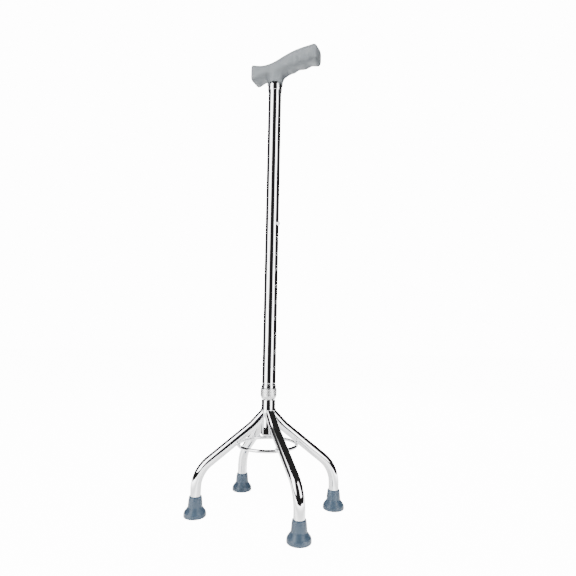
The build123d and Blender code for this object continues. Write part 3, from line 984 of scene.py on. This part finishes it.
def remeshed_boxes(boxes, voxel):
    """Points, faces and edges of a fine mesh round some boxes, each (low, high) corners."""
    points, faces = [], []
    for low, high in boxes:
        shift = len(points)
        for k in range(8):
            points.append([high[a] if k >> a & 1 else low[a] for a in range(3)])
        for f in ((0, 2, 3, 1), (4, 5, 7, 6), (0, 1, 5, 4), (2, 6, 7, 3), (0, 4, 6, 2), (1, 3, 7, 5)):
            faces.append(tuple(v + shift for v in f))
    mesh = bpy.data.meshes.new("rough")
    mesh.from_pydata(points, [], faces)
    rough = bpy.data.objects.new("rough", mesh)
    bpy.context.collection.objects.link(rough)
    wrap = rough.modifiers.new("wrap", "REMESH")
    wrap.mode = "VOXEL"
    wrap.voxel_size = voxel
    evaluated = rough.evaluated_get(bpy.context.evaluated_depsgraph_get())
    wrapped = evaluated.to_mesh()
    fine_points = np.array([v.co for v in wrapped.vertices])
    fine_faces = [tuple(f.vertices) for f in wrapped.polygons]
    fine_edges = np.array([tuple(e.vertices) for e in wrapped.edges])
    evaluated.to_mesh_clear()
    bpy.data.objects.remove(rough)
    return fine_points, fine_faces, fine_edges


def make_grip():
    """Wraps a fine mesh round two rough boxes and settles it on the grip's surface."""
    bar = ((GRIP_LOW[0] - 1, -14, 690), (GRIP_HIGH[0] + 1, 14, 716))
    neck = ((-11, -11, GRIP_LOW[2]), (13, 11, 700))
    points, faces, edges = remeshed_boxes([bar, neck], 0.9)
    count = np.zeros(len(points))
    np.add.at(count, edges.ravel(), 1)
    for _ in range(14):
        points, _ = settle(points, grip_distance, 2)
        total = np.zeros_like(points)
        np.add.at(total, edges[:, 0], points[edges[:, 1]])
        np.add.at(total, edges[:, 1], points[edges[:, 0]])
        points = 0.4 * points + 0.6 * total / count[:, None]
    points, normals = settle(points, grip_distance)
    nodes = ["handle_grip"]
    make_piece("moulded_grip", points, faces, GRIP, "upper", nodes, normals)


make_grip()


# Floor, light and camera ---------------------------------------------------------------------------

CAMERA_PLACE = Vector((0.3133, -0.5640, 0.2509))
CAMERA_HEADING = radians(116.61)  # of its line of sight, from +X
CAMERA_PITCH = radians(5.28)
CAMERA_ROLL = radians(0.99)
CAMERA_LENS = 25.82
CAMERA_SHIFT = 0.03125
SENSOR = 36.0


def make_camera():
    """A camera low down and near the cane, tilted a little up and rolled a little."""
    level = Vector((cos(CAMERA_HEADING), sin(CAMERA_HEADING), 0))
    ahead = level * cos(CAMERA_PITCH) + Vector((0, 0, sin(CAMERA_PITCH)))
    right = Vector((sin(CAMERA_HEADING), -cos(CAMERA_HEADING), 0))
    up = right.cross(ahead)
    rolled_right = right * cos(CAMERA_ROLL) + up * sin(CAMERA_ROLL)
    rolled_up = up * cos(CAMERA_ROLL) - right * sin(CAMERA_ROLL)
    data = bpy.data.cameras.new("camera")
    data.lens = CAMERA_LENS
    data.sensor_width = SENSOR
    data.shift_y = CAMERA_SHIFT
    data.clip_start = 0.01
    camera = bpy.data.objects.new("camera", data)
    bpy.context.collection.objects.link(camera)
    turn = Matrix((rolled_right, rolled_up, -ahead)).transposed()
    camera.matrix_world = Matrix.Translation(CAMERA_PLACE) @ turn.to_4x4()
    bpy.context.scene.camera = camera


BACKDROP = 14.0  # brightness of the backdrop as the camera sees it
FLOOR_GLOW = BACKDROP - 0.6  # the lamps add the rest
FLOOR_REACH = 12.0

# What polished pieces mirror all round them: angle from the camera's side (positive to the
# picture's right) and brightness there.
SURROUND = [
    (-180, 6.0),
    (-169, 6.0),
    (-159, 0.04),
    (-82, 0.05),
    (-70, 8.0),
    (-38, 8.0),
    (-20, 0.02),
    (20, 0.02),
    (38, 8.0),
    (58, 8.0),
    (71, 0.02),
    (159, 0.03),
    (169, 6.0),
    (180, 6.0),
]
SURROUND_LOW_R = 0.58
SURROUND_HIGH_R = 1.25
SURROUND_TOP = 1.5
OVERHEAD = 0.025  # brightness above the wall, in mirrors
AMBIENT = 0.28  # brightness all round for surfaces that aren't mirrors
SILL_R = 0.22  # a dark strip low down, whose image runs along the sloping legs
SILL_LOW = 0.046
SILL_HIGH = 0.084
SILL_START = -160
SILL_END = 125
WALL_GLOW = 0.02
# How bright the floor is in mirrors, by distance from the cane in metres: painted shadow under the
# cane, brightening in uneven rings away from it.
FLOOR_SHADE_IN_MIRRORS = [(0.0, 1.0), (0.09, 1.3), (0.14, 3.5), (0.2, 1.2), (0.3, 3.0), (0.5, 6.0)]

# Name, angle from the camera's side, height, distance, size, power, height it is aimed at.
LIGHTS = [
    ("key", -4, 1.65, 1.25, (0.5, 0.5), 34.0, 0.55),
    ("fill", -70, 0.9, 1.6, (1.2, 1.2), 4.0, 0.4),
    ("back", 165, 1.3, 1.5, (1.0, 1.0), 20.0, 0.45),
]


def brightness_ramp(tree, value, stops):
    """Brightness along a value from 0 to 1.

    The ramp holds the brightness's logarithm, from 0.01 at 0 to 10 at 1, so edges stay soft.
    """
    tones = tree.nodes.new("ShaderNodeValToRGB")
    elements = tones.color_ramp.elements
    elements.remove(elements[0])
    for k, (place, brightness) in enumerate(stops):
        element = elements[0] if k == 0 else elements.new(place)
        element.position = place
        level = (log10(brightness) + 2) / 3
        element.color = (level, level, level, 1)
    tree.links.new(value, tones.inputs["Fac"])
    scaled = tree.nodes.new("ShaderNodeMath")
    scaled.operation = "POWER"
    scaled.inputs[0].default_value = 1000.0
    tree.links.new(tones.outputs["Color"], scaled.inputs[1])
    strength = tree.nodes.new("ShaderNodeMath")
    strength.operation = "MULTIPLY"
    strength.inputs[1].default_value = 0.01
    tree.links.new(scaled.outputs[0], strength.inputs[0])
    return strength.outputs[0]


def light_ray_mix(tree, camera, glossy, other):
    """A strength that differs for what the camera sees, for mirrors and for the rest."""
    path = tree.nodes.new("ShaderNodeLightPath")
    value = None
    for ray, strength in (("Is Glossy Ray", glossy), ("Is Camera Ray", camera)):
        mix = tree.nodes.new("ShaderNodeMix")
        mix.inputs["A"].default_value = other
        if isinstance(strength, float):
            mix.inputs["B"].default_value = strength
        else:
            tree.links.new(strength, mix.inputs["B"])
        tree.links.new(path.outputs[ray], mix.inputs["Factor"])
        if value is not None:
            tree.links.new(value, mix.inputs["A"])
        value = mix.outputs["Result"]
    return value


def make_world():
    """White to the camera, dark overhead in mirrors and dim for the rest."""
    world = bpy.data.worlds.new("studio")
    bpy.context.scene.world = world
    world.use_nodes = True
    tree = world.node_tree
    background = tree.nodes["Background"]
    background.inputs["Color"].default_value = (1, 1, 1, 1)
    tree.links.new(light_ray_mix(tree, BACKDROP, OVERHEAD, AMBIENT), background.inputs["Strength"])


def make_floor():
    """A white floor, as wide as a room, evenly bright to the camera, with painted shadow under the
    cane in mirrors.
    """
    mesh = bpy.data.meshes.new("floor")
    sides = [(-1, -1), (1, -1), (1, 1), (-1, 1)]
    corners = [(FLOOR_REACH * x, FLOOR_REACH * y, 0) for x, y in sides]
    mesh.from_pydata(corners, [], [(0, 1, 2, 3)])
    floor = bpy.data.objects.new("floor", mesh)
    bpy.context.collection.objects.link(floor)
    material = bpy.data.materials.new("floor")
    material.use_nodes = True
    tree = material.node_tree
    shader = tree.nodes["Principled BSDF"]
    shader.inputs["Base Color"].default_value = (0.85, 0.85, 0.85, 1)
    shader.inputs["Roughness"].default_value = 0.9
    shader.inputs["Specular IOR Level"].default_value = 0.0
    shader.inputs["Emission Color"].default_value = (1, 1, 1, 1)
    # painted shadow: in mirrors the floor is grey under the base and brightens unevenly away from it
    place = tree.nodes.new("ShaderNodeTexCoord").outputs["Object"]
    far = tree.nodes.new("ShaderNodeVectorMath")
    far.operation = "LENGTH"
    tree.links.new(place, far.inputs[0])
    painted_shade = brightness_ramp(tree, far.outputs["Value"], FLOOR_SHADE_IN_MIRRORS)
    strength = light_ray_mix(tree, FLOOR_GLOW, painted_shade, 0.0)
    tree.links.new(strength, shader.inputs["Emission Strength"])
    mesh.materials.append(material)


def wall(name, low, high, start=-180, end=180):
    """A dark wall round the cane that only mirrors see; low and high are (radius, height)."""
    toward = atan2(CAMERA_PLACE[1], CAMERA_PLACE[0])
    points, faces = [], []
    steps = 120
    for k in range(steps + 1):
        a = toward + radians(start + (end - start) * k / steps)
        points.append((low[0] * cos(a), low[0] * sin(a), low[1]))
        points.append((high[0] * cos(a), high[0] * sin(a), high[1]))
    for k in range(steps):
        faces.append((2 * k, 2 * k + 2, 2 * k + 3, 2 * k + 1))
    mesh = bpy.data.meshes.new(name)
    mesh.from_pydata(points, [], faces)
    around = mesh.uv_layers.new(name="around")
    for loop in mesh.loops:
        around.data[loop.index].uv = (loop.vertex_index // 2 / steps, loop.vertex_index % 2)
    material = bpy.data.materials.new(name)
    material.use_nodes = True
    tree = material.node_tree
    tree.nodes.remove(tree.nodes["Principled BSDF"])
    glow = tree.nodes.new("ShaderNodeEmission")
    glow.inputs["Color"].default_value = (1, 1, 1, 1)
    glow.inputs["Strength"].default_value = WALL_GLOW
    tree.links.new(glow.outputs[0], tree.nodes["Material Output"].inputs["Surface"])
    mesh.materials.append(material)
    card = bpy.data.objects.new(name, mesh)
    bpy.context.collection.objects.link(card)
    card.visible_camera = False
    card.visible_diffuse = False
    card.visible_shadow = False
    card.visible_transmission = False
    return tree, glow


def make_surround():
    """The wall whose light and dark parts make the bands on the chrome."""
    tree, glow = wall("surround", (SURROUND_LOW_R, 0.0), (SURROUND_HIGH_R, SURROUND_TOP))
    uv = tree.nodes.new("ShaderNodeUVMap")
    uv.uv_map = "around"
    split = tree.nodes.new("ShaderNodeSeparateXYZ")
    tree.links.new(uv.outputs["UV"], split.inputs["Vector"])
    stops = [((angle + 180) / 360, brightness) for angle, brightness in SURROUND]
    tree.links.new(brightness_ramp(tree, split.outputs["X"], stops), glow.inputs["Strength"])


def make_area_light(name, angle, height, distance, size, power, target_z):
    """A soft lamp aimed at the shaft's axis, left out of mirrors."""
    toward = atan2(CAMERA_PLACE[1], CAMERA_PLACE[0]) + radians(angle)
    data = bpy.data.lights.new(name, "AREA")
    data.shape = "RECTANGLE"
    data.size, data.size_y = size
    data.energy = power
    data.specular_factor = 0.4
    light = bpy.data.objects.new(name, data)
    bpy.context.collection.objects.link(light)
    place = Vector((distance * cos(toward), distance * sin(toward), height))
    light.location = place
    light.rotation_mode = "QUATERNION"
    light.rotation_quaternion = (Vector((0, 0, target_z)) - place).to_track_quat("-Z", "Y")
    light.visible_glossy = False


make_camera()
make_world()
make_floor()
make_surround()
wall("sill", (SILL_R, SILL_LOW), (SILL_R, SILL_HIGH), SILL_START, SILL_END)
for light in LIGHTS:
    make_area_light(*light)
